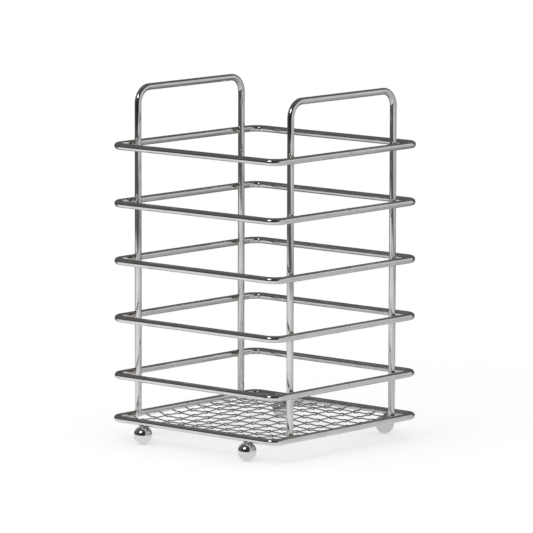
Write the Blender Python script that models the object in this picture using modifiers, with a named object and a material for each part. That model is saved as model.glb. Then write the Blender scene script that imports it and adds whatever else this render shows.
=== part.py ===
"""Cutlery caddy of welded chromed wire.

Six square rings are stacked over each other. Two inverted-U handle frames run down inside them, one
along the left side and one along the right. The lowest ring carries a woven wire base and stands on
four ball feet. Metres, +Z up, the front faces -Y, and the origin is on the floor under the middle.
"""
import bpy
from math import asin, cos, pi, sin, sqrt
from mathutils import Vector

# Main wire and the clearance that every welded joint is modelled with
WIRE_DIAMETER = 0.004
WELD_GAP = 0.0003

# Rings, measured to the middle of their wire
RING_WIDTH = 0.127
SIDE_RING_CORNER = 0.0076
BASE_RING_CORNER = 0.0063
LOWEST_RING_RISE = 0.0257
RING_PITCH = 0.034
RING_NAMES = ("side_ring_1", "side_ring_2", "side_ring_3", "side_ring_4", "rim_ring")

# Handle frames, measured to the middle of their wire
HANDLE_RISE = 0.033
HANDLE_CORNER = 0.0094
LEG_INSET = 0.0176
LEG_FOOT_DROP = 0.0005

# Woven base. Its plane is bent by use: it rises towards the back, sags towards the right, is twisted
# between its corners and sags along its left and right sides. Where it rises, it has room to pass
# under a leg's foot.
MESH_WIRE_DIAMETER = 0.0009
MESH_BACK_RISE = 0.0032
MESH_RIGHT_SAG = 0.0021
MESH_TWIST = 0.0058
MESH_SIDE_SAG = 0.005
MESH_ROOM = 0.0002

# Ball feet
BALL_DIAMETER = 0.0111
BALL_LAND_RADIUS = 0.001
BALL_SIDE_INSET = 0.0228
BALL_INSET = 0.0015

# Fineness of the curved surfaces
CORNER_STEPS = 6
WIRE_BEVEL_RESOLUTION = 4
MESH_BEVEL_RESOLUTION = 1
BALL_PROFILE_STEPS = 10
BALL_TURN_STEPS = 16
SCREW_MERGE = 0.00001

# Where the base wires run, as shares of the base's half span. They are straight from above and evenly
# spaced, a little askew in the ring, and pass under the legs' feet.
MESH_PITCH_SHARE = 0.1835
MESH_SKEW_SHARE = 0.019
LENGTHWISE_COUNT = 11
LENGTHWISE_FIRST_SHARE = -0.9255
CROSSWISE_COUNT = 11
CROSSWISE_FIRST_SHARE = -0.909

# Sizes that follow from the ones above
WIRE_RADIUS = WIRE_DIAMETER / 2
BALL_RADIUS = BALL_DIAMETER / 2
HALF_RING = RING_WIDTH / 2
FRAME_X = HALF_RING - WIRE_DIAMETER - WELD_GAP
HALF_LEG_SPACING = HALF_RING - LEG_INSET
BALL_X = HALF_RING - BALL_SIDE_INSET
BALL_Y = HALF_RING - BALL_INSET
BALL_LAND_DROP = sqrt(BALL_RADIUS ** 2 - BALL_LAND_RADIUS ** 2)
BALL_TO_RING = sqrt((BALL_RADIUS + WIRE_RADIUS + WELD_GAP) ** 2 - BALL_INSET ** 2)
BASE_RING_Z = BALL_LAND_DROP + BALL_TO_RING
RIM_Z = BASE_RING_Z + LOWEST_RING_RISE + (len(RING_NAMES) - 1) * RING_PITCH
HANDLE_Z = RIM_Z + HANDLE_RISE
MESH_CRIMP = (MESH_WIRE_DIAMETER + WELD_GAP) / 2
MESH_TOP_DROP = LEG_FOOT_DROP + MESH_ROOM + WELD_GAP + MESH_CRIMP
MESH_Z = BASE_RING_Z - MESH_TOP_DROP - MESH_WIRE_DIAMETER / 2
MESH_INSET = sqrt((WIRE_RADIUS + WELD_GAP) ** 2 - MESH_TOP_DROP ** 2)
MESH_HALF_SPAN = HALF_RING - MESH_INSET

# Finishes: base colour, roughness
CHROMED_WIRE = ((0.78, 0.79, 0.80, 1.0), 0.09)
GALVANISED_MESH = ((0.62, 0.64, 0.65, 1.0), 0.24)
POLISHED_BALL = ((0.82, 0.83, 0.84, 1.0), 0.05)


def clear_scene():
    """Remove every object that the scene starts with."""
    for scene_object in list(bpy.data.objects):
        bpy.data.objects.remove(scene_object, do_unlink=True)


def make_collection(name):
    """Return a new collection in the scene."""
    collection = bpy.data.collections.new(name)
    bpy.context.scene.collection.children.link(collection)
    return collection


def metal(name, finish):
    """Return a new metal material with a finish's colour and roughness."""
    colour, roughness = finish
    material = bpy.data.materials.new(name)
    material.use_nodes = True
    shader = material.node_tree.nodes["Principled BSDF"]
    shader.inputs["Base Color"].default_value = colour
    shader.inputs["Metallic"].default_value = 1.0
    shader.inputs["Roughness"].default_value = roughness
    return material


def place(scene_object, location, collection, finish, parent):
    """Put a finished piece in its collection, at its place, with its own material."""
    scene_object.location = location
    scene_object.parent = parent
    scene_object.data.materials.append(metal(scene_object.name + "_finish", finish))
    collection.objects.link(scene_object)


def arc(centre, radius, start, sweep, along_u, along_v):
    """Return the points of an arc in the plane of two unit vectors."""
    points = []
    for step in range(CORNER_STEPS + 1):
        angle = start + sweep * step / CORNER_STEPS
        points.append(centre + radius * (along_u * cos(angle) + along_v * sin(angle)))
    return points


def wire(name, points, diameter, bevel_resolution, closed):
    """Return a round wire that follows the points, with flat ends unless it is closed."""
    curve = bpy.data.curves.new(name, "CURVE")
    curve.dimensions = "3D"
    curve.bevel_depth = diameter / 2
    curve.bevel_resolution = bevel_resolution
    curve.use_fill_caps = not closed
    spline = curve.splines.new("POLY")
    spline.points.add(len(points) - 1)
    for spline_point, point in zip(spline.points, points):
        spline_point.co = (*point, 1.0)
    spline.use_cyclic_u = closed
    spline.use_smooth = True
    return bpy.data.objects.new(name, curve)


def ring_points(corner):
    """Return the middle line of a square ring with round corners."""
    along_x = Vector((1, 0, 0))
    along_y = Vector((0, 1, 0))
    reach = HALF_RING - corner
    points = []
    for quarter, (side_x, side_y) in enumerate(((1, 1), (-1, 1), (-1, -1), (1, -1))):
        centre = along_x * side_x * reach + along_y * side_y * reach
        points += arc(centre, corner, quarter * pi / 2, pi / 2, along_x, along_y)
    return points


def build_rings(collection, parent):
    """Build the base ring and the rings above it."""
    base = wire("base_ring", ring_points(BASE_RING_CORNER), WIRE_DIAMETER, WIRE_BEVEL_RESOLUTION, True)
    place(base, (0, 0, BASE_RING_Z), collection, CHROMED_WIRE, parent)
    for level, name in enumerate(RING_NAMES):
        ring = wire(name, ring_points(SIDE_RING_CORNER), WIRE_DIAMETER, WIRE_BEVEL_RESOLUTION, True)
        height = BASE_RING_Z + LOWEST_RING_RISE + level * RING_PITCH
        place(ring, (0, 0, height), collection, CHROMED_WIRE, parent)


def handle_frame_points():
    """Return the middle line of an inverted U, from its front foot over the bar to its back foot."""
    along_y = Vector((0, 1, 0))
    upward = Vector((0, 0, 1))
    foot = upward * (BASE_RING_Z - LEG_FOOT_DROP)
    reach = HALF_LEG_SPACING - HANDLE_CORNER
    top = upward * (HANDLE_Z - HANDLE_CORNER)
    points = [foot - along_y * HALF_LEG_SPACING]
    points += arc(top - along_y * reach, HANDLE_CORNER, pi, -pi / 2, along_y, upward)
    points += arc(top + along_y * reach, HANDLE_CORNER, pi / 2, -pi / 2, along_y, upward)
    points.append(foot + along_y * HALF_LEG_SPACING)
    return points


def build_handle_frames(collection, parent):
    """Build the two frames that stand inside the rings and rise over the rim as handles."""
    for name, side in (("left_handle_frame", -1), ("right_handle_frame", 1)):
        frame = wire(name, handle_frame_points(), WIRE_DIAMETER, WIRE_BEVEL_RESOLUTION, False)
        place(frame, (side * FRAME_X, 0, 0), collection, CHROMED_WIRE, parent)


def crossing(lengthwise, crosswise):
    """Return the X and Y shares where a lengthwise and a crosswise wire cross."""
    front, back = lengthwise
    left, right = crosswise
    lean = (back - front) / 2
    slope = (right - left) / 2
    x_share = ((front + back) / 2 + lean * (left + right) / 2) / (1 - lean * slope)
    y_share = (left + right) / 2 + slope * x_share
    return x_share, y_share


def on_base(x_share, y_share, height):
    """Return the point at two shares of the base's half span, at a height over its bent surface."""
    bend = MESH_BACK_RISE * y_share - MESH_RIGHT_SAG * x_share
    bend -= MESH_TWIST * x_share * y_share + MESH_SIDE_SAG * x_share ** 2
    bend *= (1 - x_share ** 2) * (1 - y_share ** 2)
    return Vector((x_share * MESH_HALF_SPAN, y_share * MESH_HALF_SPAN, bend + height))


def end_share(beside_share):
    """Return where a base wire ends at the ring, whose round corners cut the outer wires shorter."""
    corner_centre = HALF_RING - BASE_RING_CORNER
    into_corner = max(0, abs(beside_share) * MESH_HALF_SPAN - corner_centre)
    return (corner_centre + sqrt((BASE_RING_CORNER - MESH_INSET) ** 2 - into_corner ** 2)) / MESH_HALF_SPAN


def woven_path(start, crossings, end, first_side):
    """Return a base wire's middle line, which goes over and under at its crossings in turn."""
    points = [on_base(*start, 0)]
    for number, crossed_at in enumerate(crossings):
        crimped = on_base(*crossed_at, first_side * (-1) ** number * MESH_CRIMP)
        if number > 0:
            points.append((points[-1] + crimped) / 2)
        points.append(crimped)
    points.append(on_base(*end, 0))
    return points


def lengthwise_wires():
    """Return the X shares of every lengthwise wire at the base's front and back, left to right."""
    middles = [LENGTHWISE_FIRST_SHARE + number * MESH_PITCH_SHARE for number in range(LENGTHWISE_COUNT)]
    return [(middle + MESH_SKEW_SHARE, middle - MESH_SKEW_SHARE) for middle in middles]


def crosswise_wires():
    """Return the Y shares of every crosswise wire at the base's left and right, front to back."""
    middles = [CROSSWISE_FIRST_SHARE + number * MESH_PITCH_SHARE for number in range(CROSSWISE_COUNT)]
    return [(middle - MESH_SKEW_SHARE, middle + MESH_SKEW_SHARE) for middle in middles]


def add_base_wire(name, points, collection, parent):
    """Build one wire of the woven base."""
    base_wire = wire(name, points, MESH_WIRE_DIAMETER, MESH_BEVEL_RESOLUTION, False)
    place(base_wire, (0, 0, MESH_Z), collection, GALVANISED_MESH, parent)


def build_woven_base(collection, parent):
    """Build the base's wires, each with its own crimps."""
    lengthwise_family = lengthwise_wires()
    crosswise_family = crosswise_wires()
    for number, (front, back) in enumerate(lengthwise_family):
        crossings = [crossing((front, back), crosswise) for crosswise in crosswise_family]
        start, end = (front, -end_share(front)), (back, end_share(back))
        points = woven_path(start, crossings, end, (-1) ** (number + 1))
        add_base_wire(f"base_wire_lengthwise_{number + 1}", points, collection, parent)
    for number, (left, right) in enumerate(crosswise_family):
        crossings = [crossing(lengthwise, (left, right)) for lengthwise in lengthwise_family]
        start, end = (-end_share(left), left), (end_share(right), right)
        points = woven_path(start, crossings, end, (-1) ** number)
        add_base_wire(f"base_wire_crosswise_{number + 1}", points, collection, parent)


def ball_profile():
    """Return half the outline of a ball foot, from its top down to the flat that it stands on."""
    land_angle = pi - asin(BALL_LAND_RADIUS / BALL_RADIUS)
    points = []
    for step in range(BALL_PROFILE_STEPS + 1):
        angle = land_angle * step / BALL_PROFILE_STEPS
        points.append((BALL_RADIUS * sin(angle), 0, BALL_RADIUS * cos(angle)))
    points.append((0, 0, -BALL_LAND_DROP))
    return points


def turned(name, profile, steps):
    """Return an object whose profile is turned about its own Z axis."""
    mesh = bpy.data.meshes.new(name)
    edges = [(number, number + 1) for number in range(len(profile) - 1)]
    mesh.from_pydata(profile, edges, [])
    piece = bpy.data.objects.new(name, mesh)
    screw = piece.modifiers.new("turned", "SCREW")
    screw.steps = steps
    screw.render_steps = steps
    screw.use_merge_vertices = True
    screw.merge_threshold = SCREW_MERGE
    screw.use_smooth_shade = True
    return piece


def build_ball_feet(collection, parent):
    """Build the four balls under the front and back wires of the base ring."""
    for end, y_side in (("front", -1), ("back", 1)):
        for side, x_side in (("left", -1), ("right", 1)):
            foot = turned(f"ball_foot_{end}_{side}", ball_profile(), BALL_TURN_STEPS)
            location = (x_side * BALL_X, y_side * BALL_Y, BALL_LAND_DROP)
            place(foot, location, collection, POLISHED_BALL, parent)


def main():
    """Build the whole caddy."""
    clear_scene()
    collection = make_collection("cutlery_caddy")
    origin = bpy.data.objects.new("caddy_origin", None)
    collection.objects.link(origin)
    build_rings(collection, origin)
    build_handle_frames(collection, origin)
    build_woven_base(collection, origin)
    build_ball_feet(collection, origin)


main()
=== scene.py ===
from math import cos, exp, pi, radians, sin, sqrt

import bmesh
import bpy
from bpy.props import FloatProperty, FloatVectorProperty, PointerProperty
from mathutils import Matrix, Vector, noise


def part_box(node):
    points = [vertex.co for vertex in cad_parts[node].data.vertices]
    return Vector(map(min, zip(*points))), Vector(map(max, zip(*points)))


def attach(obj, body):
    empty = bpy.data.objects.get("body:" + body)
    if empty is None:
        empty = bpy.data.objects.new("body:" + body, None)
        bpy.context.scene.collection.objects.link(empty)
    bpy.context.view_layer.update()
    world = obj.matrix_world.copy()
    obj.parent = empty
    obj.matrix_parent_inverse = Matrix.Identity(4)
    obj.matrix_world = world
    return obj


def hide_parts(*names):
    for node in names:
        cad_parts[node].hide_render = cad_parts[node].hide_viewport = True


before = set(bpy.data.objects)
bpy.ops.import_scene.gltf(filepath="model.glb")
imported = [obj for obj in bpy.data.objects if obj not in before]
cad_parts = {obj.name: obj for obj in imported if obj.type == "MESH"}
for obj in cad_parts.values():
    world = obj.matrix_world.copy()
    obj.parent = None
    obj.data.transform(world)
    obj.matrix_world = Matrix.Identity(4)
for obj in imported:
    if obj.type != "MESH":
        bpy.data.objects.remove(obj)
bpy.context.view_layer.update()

bl_info = {
    "name": "Cutlery caddy dressing",
    "version": (1, 0, 0),
    "blender": (4, 5, 0),
    "location": "3D View > Sidebar > Caddy",
    "description": "Builds the chromed wire, welds, woven base and ball feet of a cutlery caddy",
    "category": "Object",
}

BODY = "root"

RINGS = ("base_ring", "side_ring_1", "side_ring_2", "side_ring_3", "side_ring_4", "rim_ring")
HANDLE_FRAMES = ("left_handle_frame", "right_handle_frame")
BALL_FEET = ("ball_foot_front_left", "ball_foot_front_right", "ball_foot_back_left", "ball_foot_back_right")

# Where the base wires run, as the CAD source has them: shares of the base's half span
MESH_PITCH_SHARE = 0.1835
MESH_SKEW_SHARE = 0.019
LENGTHWISE_COUNT = 11
LENGTHWISE_FIRST_SHARE = -0.9255
CROSSWISE_COUNT = 11
CROSSWISE_FIRST_SHARE = -0.909

# How far the woven base is welded under the middle of its ring, how far from the weld a base wire's
# end starts to climb and to spread, and the share by which it spreads
BASE_NET_DROP = 0.00205
END_RISE_REACH = 0.004
END_SPREAD_REACH = 0.0008
END_SPREAD = 0.4

# Pattern of the base wires' wander over the base's half span, along X and along Y
STRAIN_SCALE = 2.3
STRAIN_SEEDS = (4.7, 9.2)

# Shape of a weld: how fast it flares from its waist, and how uneven it is round its axis
WELD_FLARE = 1.7
WELD_UNEVENNESS = 0.09

# How far from a leg weld the plating is tinted, and how high a ball is worn by what it stands on
HEAT_REACH = 0.009
WORN_HEIGHT = 0.0016

# Point attributes that the finishes read
LAY = "wire_lay"
TUCKED = "tucked_in"

# Fineness of the meshes, and the angle in degrees from which an edge is sharp
WIRE_SIDES = 28
BEND_STEPS = 18
BASE_WIRE_SIDES = 12
CRIMP_STEPS = 6
BALL_TURN_STEPS = 72
BALL_PROFILE_STEPS = 44
WELD_TURN_STEPS = 32
WELD_STEPS = 9
SHARP_ANGLE = 42
SHEET_STEPS = 48

# Directions round the caddy, in degrees anticlockwise from the camera's side. The metal reflects a light
# panel from its start to its end, where the start moves on as the panel rises, and dark walls elsewhere.
CAMERA_HEADING = -48.925
RIGHT, RIGHT_BACK, BACK = 75, 121, 180
SMALL_LAMP_SIDE = -40
# The light panel and dark walls are glowing sheets that only the metal sees: painted reflections
PANEL_START, PANEL_END, PANEL_LEAN = 24, 118, 0.4
CEILING_START, CEILING_END = -210, 150

# Rises over the floor, in degrees, of the rows of points in the walls and the ceiling
WALL_RISES = (0, 6, 12, 18, 24, 30, 34, 38)
CEILING_RISES = (38, 44, 50, 58, 66, 74, 82, 89)

# How high over the floor the reflected table lies
TABLE_HEIGHT = 0.0005

BLACK = (0.0, 0.0, 0.0, 1.0)
WHITE = (1.0, 1.0, 1.0, 1.0)


def middle(node):
    """Return the middle of a CAD node's box."""
    low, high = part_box(node)
    return (low + high) / 2


def extent(node):
    """Return the size of a CAD node's box."""
    low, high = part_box(node)
    return high - low


CAD_WIRE = extent("rim_ring").z
CAD_RING_SIDE = extent("rim_ring").x - CAD_WIRE
CAD_LEG_SPREAD = extent("right_handle_frame").y - CAD_WIRE
CAD_BALL = extent("ball_foot_front_left").x
BASE_RING_Z = middle("base_ring").z
FIRST_RING_Z = middle("side_ring_1").z
SIDE_GAPS = 4
RING_PITCH = (middle("rim_ring").z - FIRST_RING_Z) / SIDE_GAPS
FRAME_X = middle("right_handle_frame").x
BASE_NET_Z = BASE_RING_Z - BASE_NET_DROP


def length_setting(name, description, default):
    """Return a length in metres that a user may change."""
    return FloatProperty(name=name, description=description, default=default, min=0.0, precision=5,
                         unit="LENGTH")


def colour_setting(name, description, default):
    """Return a colour that a user may change."""
    return FloatVectorProperty(name=name, description=description, default=default, size=3, min=0.0,
                               max=1.0, subtype="COLOR")


class CaddySizes(bpy.types.PropertyGroup):
    """Sizes of the caddy's wires, bends and welds"""

    wire: length_setting("Wire", "Diameter of the ring and frame wire", CAD_WIRE)
    ring_side: length_setting("Ring side", "Side of a ring between wire middles", CAD_RING_SIDE)
    side_ring_corner: length_setting("Side ring corner", "Bend radius of the upper rings", 0.0076)
    base_ring_corner: length_setting("Base ring corner", "Bend radius of the base ring", 0.0063)
    leg_spread: length_setting("Leg spread", "Distance between a frame's legs", CAD_LEG_SPREAD)
    handle_corner: length_setting("Handle corner", "Bend radius of the handle frames", 0.0094)
    cut_end: length_setting("Cut end", "Length over which a cut wire end is rounded", 0.00035)
    seam_height: length_setting("Seam height", "How far the butt weld's flash stands up", 0.00014)
    seam_width: length_setting("Seam width", "Half width of the butt weld's flash", 0.00045)
    weld_reach: length_setting("Weld reach", "Radius of a weld where it meets the wires", 0.00185)
    weld_waist: length_setting("Weld waist", "Radius of a weld at its narrowest", 0.00135)
    weld_bite: length_setting("Weld bite", "How far a weld goes into each wire", 0.00012)
    neck_reach: length_setting("Ball neck", "Radius of the weld over a ball foot", 0.0015)
    base_wire: length_setting("Base wire", "Diameter of the woven base's wire", 0.0009)
    crimp: length_setting("Crimp", "How far a base wire bends up or down where it crosses another", 0.00058)
    crimp_reach: length_setting("Crimp reach", "Half the length of a crimp", 0.0034)
    back_rise: length_setting("Back rise", "How far the woven base rises towards the back", 0.0032)
    right_sag: length_setting("Right sag", "How far the woven base sags towards the right", 0.0021)
    twist: length_setting("Twist", "How far the woven base is twisted between its corners", 0.0058)
    side_sag: length_setting("Side sag", "How far the woven base sags along its sides", 0.005)
    strain: length_setting("Strain", "How far a base wire wanders from its straight line", 0.0004)
    base_wire_tail: length_setting("Base wire tail", "How far a base wire runs into its weld", 0.0005)
    end_rise: length_setting("End rise", "How far a base wire's end climbs the ring at its weld", 0.0006)
    ball: length_setting("Ball", "Diameter of a ball foot", CAD_BALL)


class CaddyColours(bpy.types.PropertyGroup):
    """Colours of the caddy's plating and welds"""

    chrome: colour_setting("Chrome", "Clean plating on the wires", (0.680, 0.685, 0.690))
    thin_chrome: colour_setting("Thin chrome", "Plating where it is hazy", (0.520, 0.530, 0.540))
    heat_tint: colour_setting("Heat tint", "Plating beside a weld", (0.600, 0.530, 0.420))
    weld: colour_setting("Weld", "Metal of the welds", (0.560, 0.555, 0.550))
    weld_dark: colour_setting("Weld hollow", "Hollows of the welds", (0.260, 0.240, 0.220))
    base_wire: colour_setting("Base wire", "Plating on the woven base", (0.470, 0.480, 0.490))
    # Painted shade where the base wires cross and press on each other
    crossing_shade: colour_setting("Tarnish", "Where base wires press on each other", (0.150, 0.155, 0.155))
    ball: colour_setting("Ball", "Polished plating on the ball feet", (0.680, 0.685, 0.690))
    # Colours of glowing sheets that only the metal sees: painted reflections
    dark_room: colour_setting("Dark room", "What metal reflects beyond the table", (0.145, 0.142, 0.138))
    light_panel: colour_setting("Light panel", "What metal reflects at the right", (0.750, 0.750, 0.745))
    floor: colour_setting("Floor", "Plain pale floor", (0.960, 0.960, 0.960))


class CaddyStage(bpy.types.PropertyGroup):
    """Light, floor and camera around the caddy"""

    surround: FloatProperty(name="Surround", description="Level of the light from all round", default=0.88,
                            min=0.0)
    overhead: FloatProperty(name="Overhead lamp", description="Power of the soft lamp above", default=3.0,
                            min=0.0, unit="POWER")
    spot: FloatProperty(name="Small lamp", description="Power of the small lamp at the left", default=3.2,
                        min=0.0, unit="POWER")
    lens: FloatProperty(name="Lens", description="Focal length of the camera", default=335.2, min=1.0,
                        unit="CAMERA")
    floor_white: FloatProperty(name="Floor whiteness", description="How white the floor is near the caddy",
                               default=0.5, min=0.0, max=1.0, subtype="FACTOR")
    floor_fade: length_setting("Floor fade", "Where the floor starts to turn plain white", 0.24)
    table_edge: length_setting("Table edge", "Distance at which the reflected table turns dark", 0.38)
    table_left_reach: length_setting("Table left reach", "How much farther it reaches at the left", 0.26)
    table_blur: length_setting("Table blur", "Width over which the reflected table turns dark", 0.12)
    room_reach: length_setting("Room reach", "Distance of the dark room around the table", 1.9)


class Channel:
    """An output socket of a node, whose arithmetic adds Math nodes."""

    def __init__(self, finish, socket):
        self.finish = finish
        self.socket = socket

    def math(self, operation, *values):
        """Return the result of a Math node."""
        return self.finish.node("ShaderNodeMath", {"operation": operation}, dict(enumerate(values)))

    def __add__(self, other):
        return self.math("ADD", self, other)

    __radd__ = __add__

    def __mul__(self, other):
        return self.math("MULTIPLY", self, other)

    def __sub__(self, other):
        return self.math("SUBTRACT", self, other)

    def __rsub__(self, other):
        return self.math("SUBTRACT", other, self)

    def __truediv__(self, other):
        return self.math("DIVIDE", self, other)

    def __pow__(self, other):
        return self.math("POWER", self, other)

    def __abs__(self):
        return self.math("ABSOLUTE", self)

    def limited(self, low=0.0, high=1.0):
        """Return the value held between two limits."""
        return self.math("MAXIMUM", low, self.math("MINIMUM", self, high))


class Finish:
    """A node tree that is filled node by node."""

    def __init__(self, tree):
        self.tree = tree
        tree.nodes.clear()

    def node(self, kind, settings=None, sockets=None, output=0):
        """Add a node, set it up, fill its sockets and return one of its outputs."""
        added = self.tree.nodes.new(kind)
        for setting, value in (settings or {}).items():
            if setting == "stops":
                ramp = added.color_ramp.elements
                while len(ramp) < len(value):
                    ramp.new(0.5)
                for stop, (position, grey) in zip(ramp, value):
                    stop.position = position
                    stop.color = (grey, grey, grey, 1.0)
            else:
                setattr(added, setting, value)
        for socket, value in (sockets or {}).items():
            if isinstance(value, Channel):
                self.tree.links.new(value.socket, added.inputs[socket])
            else:
                added.inputs[socket].default_value = value
        return Channel(self, added.outputs[output] if added.outputs else None)

    def noise(self, vector, scale, detail, roughness=0.5):
        """Return a noise pattern, from 0 to 1."""
        return self.node("ShaderNodeTexNoise", {"noise_dimensions": "3D"},
                         {"Vector": vector, "Scale": scale, "Detail": detail, "Roughness": roughness})

    def ramp(self, value, *stops):
        """Return a value that runs through grey stops."""
        return self.node("ShaderNodeValToRGB", {"stops": stops}, {"Fac": value})

    def scaled(self, vector, factors):
        """Return a vector with its parts multiplied."""
        return self.node("ShaderNodeVectorMath", {"operation": "MULTIPLY"}, {0: vector, 1: factors})

    def blended(self, factor, first, second):
        """Return a colour between two others."""
        return self.node("ShaderNodeMix", {"data_type": "RGBA"}, {"Factor": factor, 6: first, 7: second}, 2)

    def bumped(self, height):
        """Return the normal of a surface whose height is given in metres."""
        return self.node("ShaderNodeBump", {}, {"Strength": 1.0, "Distance": 1.0, "Height": height})

    def attribute(self, name, output):
        """Return a point attribute of the mesh."""
        return self.node("ShaderNodeAttribute", {"attribute_name": name}, {}, output)

    def place(self):
        """Return where a point is in the part's own frame."""
        return self.node("ShaderNodeTexCoord", {}, {}, "Object")

    def away(self):
        """Return how far a point is from the middle of the floor."""
        return self.node("ShaderNodeVectorMath", {"operation": "LENGTH"}, {0: self.place()}, "Value")

    def towards(self, offset):
        """Return how far a point lies in a direction round the caddy."""
        return self.node("ShaderNodeVectorMath", {"operation": "DOT_PRODUCT"},
                         {0: self.place(), 1: heading_around(offset, 1, 0)}, "Value")

    def glow(self, colour):
        """Return a shader that gives off plain light."""
        return self.node("ShaderNodeEmission", {}, {"Color": colour, "Strength": 1.0})

    def close(self, surface):
        """Close the tree with a surface."""
        self.node("ShaderNodeOutputMaterial", {}, {"Surface": surface})

    def metal(self, colour, roughness, normal):
        """Close the tree with a metal surface."""
        self.close(self.node("ShaderNodeBsdfPrincipled", {}, {
            "Base Color": colour, "Metallic": 1.0, "Roughness": roughness, "Normal": normal}))


def new_finish(name):
    """Return a new material and the tree to fill."""
    material = bpy.data.materials.new(name)
    material.use_nodes = True
    return material, Finish(material.node_tree)


def rgba(colour):
    """Return an opaque colour."""
    return (*colour, 1.0)


def weld_heat(finish, place, sizes):
    """Return how close a point is to one of the leg welds, from 0 to 1."""
    axes = [finish.node("ShaderNodeSeparateXYZ", {}, {0: place}, axis) for axis in "XYZ"]
    level = (axes[2] - FIRST_RING_Z) / RING_PITCH
    nearest = level.math("ROUND", level.limited(0.0, SIDE_GAPS))
    up = abs(level - nearest) * RING_PITCH
    up = up.math("MINIMUM", up, abs(axes[2] - BASE_RING_Z))
    out = abs(axes[0]) - (FRAME_X + sizes.ring_side / 2) / 2
    across = abs(axes[1]) - sizes.leg_spread / 2
    distance = (up * up + out * out + across * across) ** 0.5
    return (1 - distance / HEAT_REACH).limited() ** 2.0


def fill_chromed_wire(context, finish):
    """Make the bright plating of the rings and handle frames."""
    sizes, colours = context.scene.caddy_sizes, context.scene.caddy_colours
    place = finish.place()
    drawn = finish.scaled(finish.attribute(LAY, "Vector"), (1.0, 1.0, 0.03))
    lines = finish.noise(drawn, 4200.0, 3.0, 0.6)
    scratches = finish.ramp(finish.noise(drawn, 1900.0, 2.0), (0.60, 0.0), (0.68, 1.0))
    haze = finish.ramp(finish.noise(place, 120.0, 5.0, 0.62), (0.42, 0.0), (0.72, 1.0))
    pits = finish.ramp(finish.node("ShaderNodeTexVoronoi", {"feature": "F1"},
                                   {"Vector": place, "Scale": 420.0}), (0.05, 1.0), (0.13, 0.0))
    waves = finish.noise(finish.scaled(finish.attribute(LAY, "Vector"), (1.0, 1.0, 0.35)), 260.0, 2.0)
    heat = weld_heat(finish, place, sizes)
    plated = finish.blended(haze * 0.55 + lines * 0.25, rgba(colours.chrome), rgba(colours.thin_chrome))
    tinted = finish.blended(heat * 0.7, plated, rgba(colours.heat_tint))
    colour = finish.blended(pits * 0.35, tinted, rgba(colours.weld_dark))
    roughness = 0.035 + haze * 0.05 + lines * 0.03 + scratches * 0.07 + heat * 0.16 + pits * 0.1
    height = lines * 0.0000012 + waves * 0.000018 - pits * 0.000012 - scratches * 0.0000015
    finish.metal(colour, roughness, finish.bumped(height))


def fill_polished_ball(context, finish):
    """Make the mirror plating of the ball feet."""
    colours = context.scene.caddy_colours
    place = finish.place()
    haze = finish.ramp(finish.noise(place, 210.0, 4.0, 0.6), (0.45, 0.0), (0.75, 1.0))
    peel = finish.noise(place, 900.0, 2.0)
    scuffs = finish.ramp(finish.noise(finish.scaled(place, (1.0, 1.0, 9.0)), 700.0, 3.0, 0.65),
                         (0.62, 0.0), (0.70, 1.0))
    height_up = finish.node("ShaderNodeSeparateXYZ", {}, {0: place}, "Z")
    worn = (1 - height_up / WORN_HEIGHT).limited()
    dulled = (haze * 0.4 + worn * 0.5).limited()
    colour = finish.blended(dulled, rgba(colours.ball), rgba(colours.thin_chrome))
    roughness = 0.02 + haze * 0.03 + scuffs * 0.06 + worn * 0.22
    height = peel * 0.0000016 + haze * 0.000004 - scuffs * 0.0000015
    finish.metal(colour, roughness, finish.bumped(height))


def fill_weld(context, finish):
    """Make the plated-over metal of the welds."""
    colours = context.scene.caddy_colours
    place = finish.place()
    lumps = finish.noise(place, 1400.0, 4.0, 0.6)
    scale_marks = finish.ramp(finish.noise(place, 2600.0, 3.0, 0.7), (0.48, 0.0), (0.66, 1.0))
    tint = finish.ramp(finish.noise(place, 380.0, 2.0), (0.40, 0.0), (0.66, 1.0))
    base = finish.blended(tint * 0.6, rgba(colours.weld), rgba(colours.heat_tint))
    colour = finish.blended(scale_marks * 0.6, base, rgba(colours.weld_dark))
    roughness = 0.16 + lumps * 0.16 + scale_marks * 0.2
    finish.metal(colour, roughness, finish.bumped(lumps * 0.00009 - scale_marks * 0.00002))


def fill_crimped_wire(context, finish):
    """Make the duller plating of the woven base, with painted shade where its wires cross."""
    colours = context.scene.caddy_colours
    place = finish.place()
    lay = finish.attribute(LAY, "Vector")
    tucked = finish.attribute(TUCKED, "Fac")
    lines = finish.noise(finish.scaled(lay, (1.0, 1.0, 0.05)), 9000.0, 3.0, 0.6)
    mottle = finish.ramp(finish.noise(place, 480.0, 4.0, 0.65), (0.38, 0.0), (0.70, 1.0))
    # Painted shade at every crossing, where a wire bends round another, made uneven by the mottle
    crossing_shade_mask = (tucked * (0.45 + mottle * 0.75)).limited()
    plated = finish.blended(mottle * 0.5 + lines * 0.2, rgba(colours.base_wire), rgba(colours.thin_chrome))
    colour = finish.blended(crossing_shade_mask, plated, rgba(colours.crossing_shade))
    roughness = 0.13 + mottle * 0.12 + lines * 0.08 + crossing_shade_mask * 0.25
    finish.metal(colour, roughness, finish.bumped(lines * 0.0000025 + mottle * 0.000008))


FINISHES = {
    "bright_chrome_on_drawn_wire": fill_chromed_wire,
    "polished_chrome_on_ball": fill_polished_ball,
    "plated_over_weld": fill_weld,
    "plated_crimped_wire": fill_crimped_wire,
}


def shared_finish(context, name):
    """Return one of the finishes, made when the first piece needs it."""
    if name not in bpy.data.materials:
        FINISHES[name](context, new_finish(name)[1])
    return bpy.data.materials[name]


def bend(centre, radius, start, sweep, along_u, along_v):
    """Return the points of a bend in the plane of two unit vectors."""
    points = []
    for step in range(BEND_STEPS + 1):
        turn = start + sweep * step / BEND_STEPS
        points.append(centre + radius * (along_u * cos(turn) + along_v * sin(turn)))
    return points


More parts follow.
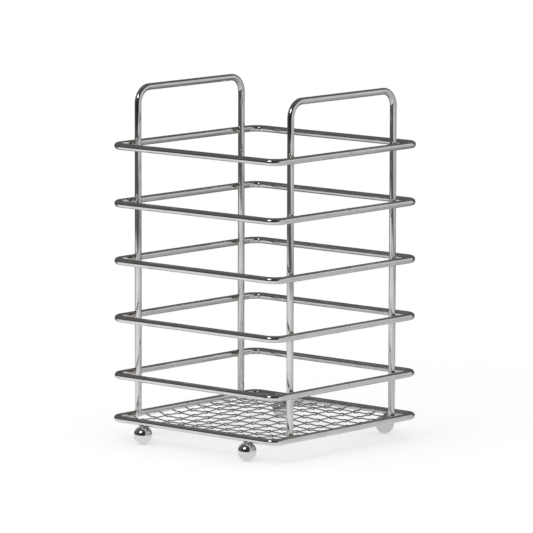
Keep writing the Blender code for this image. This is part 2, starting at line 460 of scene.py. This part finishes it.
def mesh_of(name, points, faces, attributes=()):
    """Return a smooth mesh with outward faces and point attributes."""
    mesh = bpy.data.meshes.new(name)
    mesh.from_pydata(points, [], faces)
    shape = bmesh.new()
    shape.from_mesh(mesh)
    bmesh.ops.recalc_face_normals(shape, faces=shape.faces)
    shape.to_mesh(mesh)
    shape.free()
    for attribute_name, kind, field, values in attributes:
        attribute = mesh.attributes.new(attribute_name, kind, "POINT")
        attribute.data.foreach_set(field, values)
    mesh.shade_smooth()
    mesh.set_sharp_from_angle(angle=radians(SHARP_ANGLE))
    return mesh


def drawn_wire(name, line, upright, sides, closed, girth, tucked=None):
    """Return the mesh of a wire along a line. Its girth is a radius for a distance and a direction."""
    points, lay, faces = [], [], []
    along = 0.0
    for number, centre in enumerate(line):
        before = line[number - 1]
        after = line[(number + 1) % len(line)]
        heading = Vector()
        if closed or number > 0:
            heading += (centre - before).normalized()
        if closed or number < len(line) - 1:
            heading += (after - centre).normalized()
        if number > 0:
            along += (centre - before).length
        side = heading.cross(upright).normalized()
        top = side.cross(heading).normalized()
        for step in range(sides):
            turn = 2 * pi * step / sides
            outward = side * cos(turn) + top * sin(turn)
            radius = girth(along, outward)
            points.append(centre + outward * radius)
            lay += (radius * cos(turn), radius * sin(turn), along)
    for number in range(len(line) if closed else len(line) - 1):
        here = number * sides
        there = (number + 1) % len(line) * sides
        for step in range(sides):
            beside = (step + 1) % sides
            faces.append((here + step, here + beside, there + beside, there + step))
    if not closed:
        faces.append(tuple(range(sides)))
        faces.append(tuple(range(len(points) - sides, len(points))))
    attributes = [(LAY, "FLOAT_VECTOR", "vector", lay)]
    if tucked is not None:
        attributes.append((TUCKED, "FLOAT", "value", [value for value in tucked for _ in range(sides)]))
    return mesh_of(name, points, faces, attributes)


def add_piece(context, name, mesh, finishes, nodes=()):
    """Put a finished mesh in the scene as a piece of the caddy."""
    for finish in finishes:
        mesh.materials.append(finish)
    piece = bpy.data.objects.new(name, mesh)
    context.scene.collection.objects.link(piece)
    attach(piece, BODY)
    if nodes:
        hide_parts(*nodes)
    return piece


def line_length(line):
    """Return the length of an open line of points."""
    return sum((after - before).length for before, after in zip(line, line[1:]))


def ring_line(half, corner, height, weld_side, seam_width):
    """Return a ring's middle line, from its butt weld round to the weld again."""
    along_x = Vector((weld_side, 0, 0))
    along_y = Vector((0, weld_side, 0))
    level = Vector((0, 0, height))
    start = level + along_x * half
    beside_seam = [seam_width * share for share in (0.04, 0.25, 0.5, 0.8, 1.2, 1.7, 2.4)]
    line = [start + along_y * offset for offset in beside_seam]
    for quarter in range(4):
        turned = Matrix.Rotation(quarter * pi / 2, 3, "Z")
        along_u, along_v = turned @ along_x, turned @ along_y
        centre = level + (along_u + along_v) * (half - corner)
        line += bend(centre, corner, 0, pi / 2, along_u, along_v)
    line += [start - along_y * offset for offset in reversed(beside_seam)]
    return line


def ring_girth(radius, sizes, length, outside):
    """Return the radius of a ring's wire, which has the flash of its butt weld dressed flush outside."""
    groove_depth, groove_width = 1.1, 0.2

    def girth(along, outward):
        from_seam = min(along, length - along) / sizes.seam_width
        flash = sizes.seam_height * exp(-from_seam ** 2)
        groove = sizes.seam_height * groove_depth * exp(-(from_seam / groove_width) ** 2)
        return radius + flash * (1 - max(0, outward.dot(outside))) - groove

    return girth


class CADDY_OT_rings(bpy.types.Operator):
    """Build the six butt-welded rings"""

    bl_idname = "caddy.rings"
    bl_label = "Rings"

    def execute(self, context):
        sizes = context.scene.caddy_sizes
        finish = shared_finish(context, "bright_chrome_on_drawn_wire")
        for node in RINGS:
            weld_side = -1 if node == "base_ring" else 1
            corner = sizes.base_ring_corner if node == "base_ring" else sizes.side_ring_corner
            line = ring_line(sizes.ring_side / 2, corner, middle(node).z, weld_side, sizes.seam_width)
            girth = ring_girth(sizes.wire / 2, sizes, line_length(line), Vector((weld_side, 0, 0)))
            mesh = drawn_wire(f"{node}_wire", line, Vector((0, 0, 1)), WIRE_SIDES, True, girth)
            add_piece(context, f"{node}_wire", mesh, [finish], [node])
        return {"FINISHED"}


def handle_frame_line(x, sizes, foot, top):
    """Return a handle frame's middle line, from its front foot over the bar to its back foot."""
    along_y, upward = Vector((0, 1, 0)), Vector((0, 0, 1))
    side = Vector((x, 0, 0))
    spread = sizes.leg_spread / 2
    reach = spread - sizes.handle_corner
    bar = side + upward * (top - sizes.handle_corner)
    ends = [sizes.cut_end * share for share in (0.0, 0.12, 0.35, 0.65, 1.0)]
    line = [side - along_y * spread + upward * (foot + offset) for offset in ends]
    line += bend(bar - along_y * reach, sizes.handle_corner, pi, -pi / 2, along_y, upward)
    line += bend(bar + along_y * reach, sizes.handle_corner, pi / 2, -pi / 2, along_y, upward)
    line += [side + along_y * spread + upward * (foot + offset) for offset in reversed(ends)]
    return line


class CADDY_OT_handle_frames(bpy.types.Operator):
    """Build the two frames whose tops are the handles"""

    bl_idname = "caddy.handle_frames"
    bl_label = "Handle frames"

    def execute(self, context):
        sizes = context.scene.caddy_sizes
        finish = shared_finish(context, "bright_chrome_on_drawn_wire")
        radius = sizes.wire / 2
        for node in HANDLE_FRAMES:
            low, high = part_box(node)
            line = handle_frame_line(middle(node).x, sizes, low.z, high.z - radius)
            length = line_length(line)

            def girth(along, outward):
                from_end = min(along, length - along) / sizes.cut_end
                return radius - sizes.cut_end * 0.8 * max(0, 1 - from_end) ** 2

            mesh = drawn_wire(f"{node}_wire", line, Vector((1, 0, 0)), WIRE_SIDES, False, girth)
            add_piece(context, f"{node}_wire", mesh, [finish], [node])
        return {"FINISHED"}


def fillet(start, end, reach, waist, seed):
    """Return the rings of points of a weld that flares from its waist to two surfaces.

    start and end give a surface point for a lateral reach and a turn about the weld's axis."""
    rings = []
    for step in range(WELD_STEPS):
        share = step / (WELD_STEPS - 1)
        flare = abs(2 * share - 1) ** WELD_FLARE
        ring = []
        for turn_step in range(WELD_TURN_STEPS):
            turn = 2 * pi * turn_step / WELD_TURN_STEPS
            uneven = noise.noise(Vector((cos(turn) * 1.3, sin(turn) * 1.3, seed + share)))
            radius = (waist + (reach - waist) * flare) * (1 + WELD_UNEVENNESS * uneven)
            ring.append(start(radius, turn).lerp(end(radius, turn), share))
        rings.append(ring)
    return rings


def solid_of_rings(rings, first_point):
    """Return the points and faces of a closed solid through rings of points."""
    points, faces = [], []
    turns = len(rings[0])
    for ring in rings:
        points += ring
    for row in range(len(rings) - 1):
        for step in range(turns):
            beside = (step + 1) % turns
            here, there = first_point + row * turns, first_point + (row + 1) * turns
            faces.append((here + step, here + beside, there + beside, there + step))
    faces.append(tuple(range(first_point, first_point + turns)))
    faces.append(tuple(range(first_point + len(points) - turns, first_point + len(points))))
    return points, faces


def leg_weld(sizes, ring_x, leg_x, leg_y, height, drop, seed):
    """Return the weld between a leg and the ring outside it. drop is how far the leg runs below."""
    radius = sizes.wire / 2
    outward = 1 if ring_x > leg_x else -1

    def lateral(reach, turn):
        up = reach * sin(turn)
        return reach * cos(turn), max(up, -drop)

    def on_leg(reach, turn):
        across, up = lateral(reach, turn)
        out = leg_x + outward * (sqrt(radius ** 2 - across ** 2) - sizes.weld_bite)
        return Vector((out, leg_y + across, height + up))

    def on_ring(reach, turn):
        across, up = lateral(reach, turn)
        out = ring_x - outward * (sqrt(radius ** 2 - up ** 2) - sizes.weld_bite)
        return Vector((out, leg_y + across, height + up))

    return fillet(on_leg, on_ring, sizes.weld_reach, sizes.weld_waist, seed)


class CADDY_OT_leg_welds(bpy.types.Operator):
    """Build the welds that join the frames' legs to every ring"""

    bl_idname = "caddy.leg_welds"
    bl_label = "Leg welds"

    def execute(self, context):
        sizes = context.scene.caddy_sizes
        finish = shared_finish(context, "plated_over_weld")
        for level, node in enumerate(RINGS):
            height = middle(node).z
            drop = min(sizes.weld_reach * 1.2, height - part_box(HANDLE_FRAMES[0])[0].z - sizes.weld_bite)
            points, faces = [], []
            for x_side in (-1, 1):
                for y_side in (-1, 1):
                    seed = 7.3 * level + 2.1 * x_side + 0.9 * y_side
                    rings = leg_weld(sizes, x_side * sizes.ring_side / 2, x_side * FRAME_X,
                                     y_side * sizes.leg_spread / 2, height, drop, seed)
                    more_points, more_faces = solid_of_rings(rings, len(points))
                    points += more_points
                    faces += more_faces
            mesh = mesh_of(f"{node}_welds", points, faces)
            add_piece(context, f"{node}_welds", mesh, [finish])
        return {"FINISHED"}


def wire_family(count, first_share, skew):
    """Return where every wire of a family of base wires starts and ends beside the middle."""
    middles = [first_share + number * MESH_PITCH_SHARE for number in range(count)]
    return [(middle + skew, middle - skew) for middle in middles]


def crossing(lengthwise, crosswise):
    """Return the X and Y shares where a lengthwise and a crosswise wire cross."""
    front, back = lengthwise
    left, right = crosswise
    lean = (back - front) / 2
    slope = (right - left) / 2
    x_share = ((front + back) / 2 + lean * (left + right) / 2) / (1 - lean * slope)
    return x_share, (left + right) / 2 + slope * x_share


def on_base(x_share, y_share, lift, sizes, net):
    """Return the point at two shares of the base's half span, on its bent and slightly strained net."""
    slack = max(0.0, (1 - x_share ** 2) * (1 - y_share ** 2))
    wander = [noise.noise(Vector((x_share * STRAIN_SCALE, y_share * STRAIN_SCALE, seed)))
              for seed in STRAIN_SEEDS]
    strain = Vector(wander) * sizes.strain * slack ** 0.5
    bent = sizes.back_rise * y_share - sizes.right_sag * x_share
    bent -= sizes.twist * x_share * y_share + sizes.side_sag * x_share ** 2
    height = net["height"] + bent * slack + lift
    return Vector((x_share * net["half_span"] + strain.x, y_share * net["half_span"] + strain.y, height))


def end_share(beside_share, sizes, net):
    """Return where a base wire ends at the ring, whose round corners cut the outer wires shorter."""
    corner_centre = sizes.ring_side / 2 - sizes.base_ring_corner
    into_corner = max(0.0, abs(beside_share) * net["half_span"] - corner_centre)
    radius = net["half_span"] - corner_centre
    return (corner_centre + sqrt(radius ** 2 - into_corner ** 2)) / net["half_span"]


def crimped_line(ends, stops, first_side, lengthwise, sizes, net):
    """Return a base wire's middle line and how tucked in each of its points is.

    stops are the shares along the wire of its crossings, where it is crimped up and down in turn."""
    reach = sizes.crimp_reach / net["half_span"]
    tail = sizes.base_wire_tail / net["half_span"]
    starts, stays = (end_share(share, sizes, net) for share in ends)
    stations = [(-starts - tail, 0.0), (-starts, 0.0)]
    for number, stop in enumerate(stops):
        if number > 0:
            stations.append(((stop + stops[number - 1]) / 2, 0.0))
        side = first_side * (-1) ** number
        for step in range(-CRIMP_STEPS, CRIMP_STEPS + 1):
            turn = step / CRIMP_STEPS
            stations.append((stop + turn * reach, side * (1 + cos(turn * pi)) / 2))
    stations += [(stays, 0.0), (stays + tail, 0.0)]
    line, tucked = [], []
    for along, swing in stations:
        across = (ends[0] + ends[1]) / 2 + along * (ends[1] - ends[0]) / 2
        x_share, y_share = (across, along) if lengthwise else (along, across)
        from_end = min(along + starts, stays - along) * net["half_span"]
        rise = sizes.end_rise * min(1.0, max(0.0, 1 - from_end / END_RISE_REACH)) ** 2
        line.append(on_base(x_share, y_share, swing * sizes.crimp + rise, sizes, net))
        tucked.append(abs(swing) ** 3)
    return line, tucked


def base_wire_girth(sizes, length):
    """Return the radius of a base wire, which spreads into its weld at both ends."""

    def girth(along, outward):
        from_end = min(along, length - along)
        return sizes.base_wire / 2 * (1 + END_SPREAD * exp(-(from_end / END_SPREAD_REACH) ** 2))

    return girth


class CADDY_OT_woven_base(bpy.types.Operator):
    """Build the crimped wires of the woven base"""

    bl_idname = "caddy.woven_base"
    bl_label = "Woven base"

    def execute(self, context):
        sizes = context.scene.caddy_sizes
        finish = shared_finish(context, "plated_crimped_wire")
        net = {"half_span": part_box("base_wire_lengthwise_5")[1].y, "height": BASE_NET_Z}
        families = (wire_family(LENGTHWISE_COUNT, LENGTHWISE_FIRST_SHARE, MESH_SKEW_SHARE),
                    wire_family(CROSSWISE_COUNT, CROSSWISE_FIRST_SHARE, -MESH_SKEW_SHARE))
        for kind, family, others in (("lengthwise", *families), ("crosswise", *reversed(families))):
            lengthwise = kind == "lengthwise"
            for number, ends in enumerate(family):
                node = f"base_wire_{kind}_{number + 1}"
                if lengthwise:
                    stops = [crossing(ends, other)[1] for other in others]
                else:
                    stops = [crossing(other, ends)[0] for other in others]
                first_side = (-1) ** (number + 1 if lengthwise else number)
                line, tucked = crimped_line(ends, stops, first_side, lengthwise, sizes, net)
                girth = base_wire_girth(sizes, line_length(line))
                mesh = drawn_wire(f"{node}_crimped", line, Vector((0, 0, 1)), BASE_WIRE_SIDES, False, girth,
                                  tucked)
                add_piece(context, f"{node}_crimped", mesh, [finish], [node])
        return {"FINISHED"}


def ball_rings(centre, radius):
    """Return the rings of points of a ball with a flat underneath."""
    land_turn = pi - sqrt(max(0.0, 2 * (1 - centre.z / radius)))
    rings = []
    for step in range(1, BALL_PROFILE_STEPS + 1):
        down = land_turn * step / BALL_PROFILE_STEPS
        height = max(0.0, centre.z + radius * cos(down))
        ring = []
        for turn_step in range(BALL_TURN_STEPS):
            turn = 2 * pi * turn_step / BALL_TURN_STEPS
            ring.append(Vector((centre.x + radius * sin(down) * cos(turn),
                                centre.y + radius * sin(down) * sin(turn), height)))
        rings.append(ring)
    return rings


def ball_neck(centre, ball_radius, sizes, seed):
    """Return the weld between a ball and the wire of the base ring over it."""
    wire_radius = sizes.wire / 2
    ring_y = sizes.ring_side / 2 * (1 if centre.y > 0 else -1)
    to_ring = Vector((0, ring_y - centre.y, BASE_RING_Z - centre.z))
    distance = to_ring.length
    axis = to_ring.normalized()
    along_wire = Vector((1, 0, 0))
    across = axis.cross(along_wire)

    def raised(reach, turn, up):
        return centre + along_wire * reach * cos(turn) + across * reach * sin(turn) + axis * up

    def on_ball(reach, turn):
        return raised(reach, turn, sqrt(ball_radius ** 2 - reach ** 2) - sizes.weld_bite)

    def on_ring(reach, turn):
        up = distance - sqrt(wire_radius ** 2 - (reach * sin(turn)) ** 2) + sizes.weld_bite
        return raised(reach, turn, up)

    return fillet(on_ball, on_ring, sizes.neck_reach, sizes.neck_reach * 0.8, seed)


class CADDY_OT_ball_feet(bpy.types.Operator):
    """Build the four ball feet with the welds that hold them"""

    bl_idname = "caddy.ball_feet"
    bl_label = "Ball feet"

    def execute(self, context):
        sizes = context.scene.caddy_sizes
        finishes = [shared_finish(context, "polished_chrome_on_ball"),
                    shared_finish(context, "plated_over_weld")]
        for number, node in enumerate(BALL_FEET):
            low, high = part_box(node)
            radius = sizes.ball / 2
            centre = Vector(((low.x + high.x) / 2, (low.y + high.y) / 2, high.z - radius))
            points, faces = solid_of_rings(ball_rings(centre, radius), 0)
            ball_faces = len(faces)
            neck = ball_neck(centre, radius, sizes, 3.7 * number)
            more_points, more_faces = solid_of_rings(neck, len(points))
            mesh = mesh_of(f"{node}_polished", points + more_points, faces + more_faces)
            piece = add_piece(context, f"{node}_polished", mesh, finishes, [node])
            for face in piece.data.polygons[ball_faces:]:
                face.material_index = 1
        return {"FINISHED"}


def heading_around(offset, distance, height):
    """Return a point round the caddy, at an angle from the camera's side, anticlockwise from above."""
    turn = radians(CAMERA_HEADING + offset)
    return Vector((cos(turn) * distance, sin(turn) * distance, height))


def sheet_row(distance, height, start, end):
    """Return a row of points round the caddy, between two angles from the camera's side."""
    return [heading_around(start + (end - start) * step / SHEET_STEPS, distance, height)
            for step in range(SHEET_STEPS + 1)]


def dome_row(reach, rise, start, end):
    """Return a row of points on a dome over the caddy, at an angle over the floor."""
    return sheet_row(reach * cos(radians(rise)), reach * sin(radians(rise)), start, end)


def stage_sheet(context, name, rows, finish):
    """Put a sheet through rows of points on the stage."""
    width = len(rows[0])
    points = [point for row in rows for point in row]
    faces = []
    for row in range(len(rows) - 1):
        for step in range(width - 1):
            here = row * width + step
            faces.append((here, here + 1, here + width + 1, here + width))
    mesh = bpy.data.meshes.new(name)
    mesh.from_pydata(points, [], faces)
    mesh.materials.append(finish)
    sheet = bpy.data.objects.new(name, mesh)
    context.scene.collection.objects.link(sheet)
    return sheet


def seen_by_metal_only(scene_object):
    """Let only reflections see an object of the stage."""
    for ray in ("camera", "diffuse", "transmission", "volume_scatter", "shadow"):
        setattr(scene_object, f"visible_{ray}", False)


def add_floor(context):
    """Add the plain pale floor, which turns to plain white away from the caddy."""
    colours, stage = context.scene.caddy_colours, context.scene.caddy_stage
    material, finish = new_finish("plain_pale_floor")
    matt = finish.node("ShaderNodeBsdfDiffuse", {}, {"Color": rgba(colours.floor)})
    fade = ((finish.away() - stage.floor_fade) / stage.floor_fade).limited()
    whiteness = fade * (1 - stage.floor_white) + stage.floor_white
    ground = finish.node("ShaderNodeMixShader", {}, {0: whiteness, 1: matt, 2: finish.glow(WHITE)})
    clear = finish.node("ShaderNodeBsdfTransparent")
    below = finish.node("ShaderNodeNewGeometry", {}, {}, "Backfacing")
    finish.close(finish.node("ShaderNodeMixShader", {}, {0: below, 1: ground, 2: clear}))
    sides = (-9.0, 9.0)
    stage_sheet(context, "floor", [[Vector((x, y, 0)) for x in sides] for y in sides], material)


def add_reflected_table(context):
    """Add a glowing sheet that only the metal sees, as a painted reflection of the table: white at the
    left, greyer at the right, with painted shade behind the caddy, and dark beyond its edge."""
    colours, stage = context.scene.caddy_colours, context.scene.caddy_stage
    material, finish = new_finish("reflected_table")
    away = finish.away()
    rightward, slanting, behind = (finish.towards(offset) for offset in (RIGHT, RIGHT_BACK, BACK))
    greyed = finish.ramp(slanting + 0.3, (0.2, 1.0), (0.34, 0.75), (0.56, 0.71), (0.9, 0.58))
    far_right = ((rightward - 0.35) * 4).limited()
    # Painted shade on the reflected table behind the caddy
    shaded = finish.ramp(behind * 4, (0.0, 1.0), (0.24, 0.92), (0.48, 0.62), (0.72, 0.26), (1.0, 0.22))
    level = greyed * (shaded + far_right * (1 - shaded))
    leftness = ((0 - rightward) / away).limited()
    edge = stage.table_edge + leftness ** 2 * stage.table_left_reach
    beyond = ((away - edge) / stage.table_blur).limited() * (1 - far_right)
    table = finish.blended(level, BLACK, WHITE)
    dark = finish.blended(0.85, BLACK, rgba(colours.dark_room))
    finish.close(finish.glow(finish.blended(beyond, table, dark)))
    rows = [sheet_row(distance, TABLE_HEIGHT, -180, 180) for distance in (0.01, stage.room_reach)]
    seen_by_metal_only(stage_sheet(context, "reflected_table", rows, material))


def add_dark_room(context):
    """Add glowing sheets that only the metal sees, as painted reflections round the table: a dark room, and
    a light panel at the right.
    """
    colours, stage = context.scene.caddy_colours, context.scene.caddy_stage
    material, finish = new_finish("dark_room")
    height = finish.node("ShaderNodeSeparateXYZ", {}, {0: finish.place()}, "Z")
    # Painted reflection of the room, darker just over the floor and towards the camera's side
    lift = finish.ramp(height / stage.room_reach, (0.0, 1.0), (0.01, 0.45), (0.12, 0.5), (0.4, 1.0))
    towards_camera = finish.towards(0) / stage.room_reach
    level = lift * (1 - towards_camera.limited() * 0.75)
    finish.close(finish.glow(finish.blended(level, BLACK, rgba(colours.dark_room))))
    panel_material, panel = new_finish("light_panel")
    panel.close(panel.glow(rgba(colours.light_panel)))
    walls, light = [], []
    for rise in WALL_RISES:
        edge = PANEL_START + PANEL_LEAN * rise
        walls.append(dome_row(stage.room_reach, rise, PANEL_END - 360, edge))
        light.append(dome_row(stage.room_reach, rise, edge, PANEL_END))
    seen_by_metal_only(stage_sheet(context, "dark_walls", walls, material))
    seen_by_metal_only(stage_sheet(context, "light_panel", light, panel_material))
    ceiling = [dome_row(stage.room_reach, rise, CEILING_START, CEILING_END) for rise in CEILING_RISES]
    seen_by_metal_only(stage_sheet(context, "dark_ceiling", ceiling, material))


def add_lamp(context, name, place, size, power, shape="SQUARE"):
    """Add a soft lamp that faces the middle of the caddy."""
    lamp = bpy.data.lights.new(name, "AREA")
    lamp.shape = shape
    lamp.size = size
    lamp.energy = power
    scene_object = bpy.data.objects.new(name, lamp)
    scene_object.location = place
    scene_object.rotation_mode = "QUATERNION"
    scene_object.rotation_quaternion = (place - Vector((0, 0, 0.1))).to_track_quat("Z", "Y")
    scene_object.visible_camera = False
    context.scene.collection.objects.link(scene_object)
    return scene_object


def add_surround(context):
    """Add a white world, which is plain light on the floor and white where it is seen."""
    stage = context.scene.caddy_stage
    world = bpy.data.worlds.new("white_surround")
    world.use_nodes = True
    context.scene.world = world
    finish = Finish(world.node_tree)
    seen = finish.node("ShaderNodeLightPath", {}, {}, "Is Camera Ray")
    for ray in ("Is Glossy Ray", "Is Transmission Ray"):
        seen = seen.math("MAXIMUM", seen, finish.node("ShaderNodeLightPath", {}, {}, ray))
    level = seen * (1 - stage.surround) + stage.surround
    background = finish.node("ShaderNodeBackground", {}, {"Color": WHITE, "Strength": level})
    finish.node("ShaderNodeOutputWorld", {}, {"Surface": background})


def add_camera(context):
    """Add the camera at the photograph's viewing angle."""
    yaw, pitch, roll = 0.7168935801, 0.1402663174, 0.0026409996
    back = Vector((sin(yaw) * cos(pitch), -cos(yaw) * cos(pitch), sin(pitch)))
    level_right = Vector((cos(yaw), sin(yaw), 0))
    level_up = back.cross(level_right)
    right = level_right * cos(roll) + level_up * sin(roll)
    up = level_up * cos(roll) - level_right * sin(roll)
    camera = bpy.data.cameras.new("camera")
    camera.lens = context.scene.caddy_stage.lens
    camera.sensor_width = 36.0
    camera.clip_start = 0.05
    camera.clip_end = 60.0
    scene_object = bpy.data.objects.new("camera", camera)
    pose = Matrix((right, up, back)).transposed().to_4x4()
    pose.translation = Vector((1.901082, -2.179896, 0.511202))
    scene_object.matrix_world = pose
    context.scene.collection.objects.link(scene_object)
    context.scene.camera = scene_object


class CADDY_OT_stage(bpy.types.Operator):
    """Set up the floor, the soft light and the camera"""

    bl_idname = "caddy.stage"
    bl_label = "Stage"

    def execute(self, context):
        stage = context.scene.caddy_stage
        context.scene.view_settings.view_transform = "Standard"
        add_floor(context)
        add_reflected_table(context)
        add_dark_room(context)
        overhead = add_lamp(context, "overhead_lamp", place=Vector((0.1, -0.2, 1.5)), size=1.3,
                            power=stage.overhead)
        overhead.visible_glossy = False
        add_lamp(context, "small_lamp", place=heading_around(SMALL_LAMP_SIDE, 1.05, 0.95), size=0.5,
                 power=stage.spot, shape="DISK")
        add_surround(context)
        add_camera(context)
        return {"FINISHED"}


class CADDY_PT_panel(bpy.types.Panel):
    """Sidebar panel with the caddy's settings and steps"""

    bl_idname = "CADDY_PT_panel"
    bl_label = "Cutlery caddy"
    bl_space_type = "VIEW_3D"
    bl_region_type = "UI"
    bl_category = "Caddy"

    def draw(self, context):
        for group in (context.scene.caddy_sizes, context.scene.caddy_colours, context.scene.caddy_stage):
            column = self.layout.column()
            for setting in group.__annotations__:
                column.prop(group, setting)
        for operator in OPERATORS:
            self.layout.operator(operator.bl_idname)


SETTINGS = {"caddy_sizes": CaddySizes, "caddy_colours": CaddyColours, "caddy_stage": CaddyStage}
OPERATORS = (
    CADDY_OT_rings,
    CADDY_OT_handle_frames,
    CADDY_OT_leg_welds,
    CADDY_OT_woven_base,
    CADDY_OT_ball_feet,
    CADDY_OT_stage,
)


def register():
    """Register the classes and hang the settings on the scene."""
    for kind in (*SETTINGS.values(), *OPERATORS, CADDY_PT_panel):
        bpy.utils.register_class(kind)
    for name, kind in SETTINGS.items():
        setattr(bpy.types.Scene, name, PointerProperty(type=kind))


def unregister():
    """Undo register."""
    for name in SETTINGS:
        delattr(bpy.types.Scene, name)
    for kind in reversed((*SETTINGS.values(), *OPERATORS, CADDY_PT_panel)):
        bpy.utils.unregister_class(kind)


def main():
    """Build every piece and the stage."""
    register()
    bpy.ops.caddy.rings()
    bpy.ops.caddy.handle_frames()
    bpy.ops.caddy.leg_welds()
    bpy.ops.caddy.woven_base()
    bpy.ops.caddy.ball_feet()
    bpy.ops.caddy.stage()


if __name__ == "__main__":
    main()
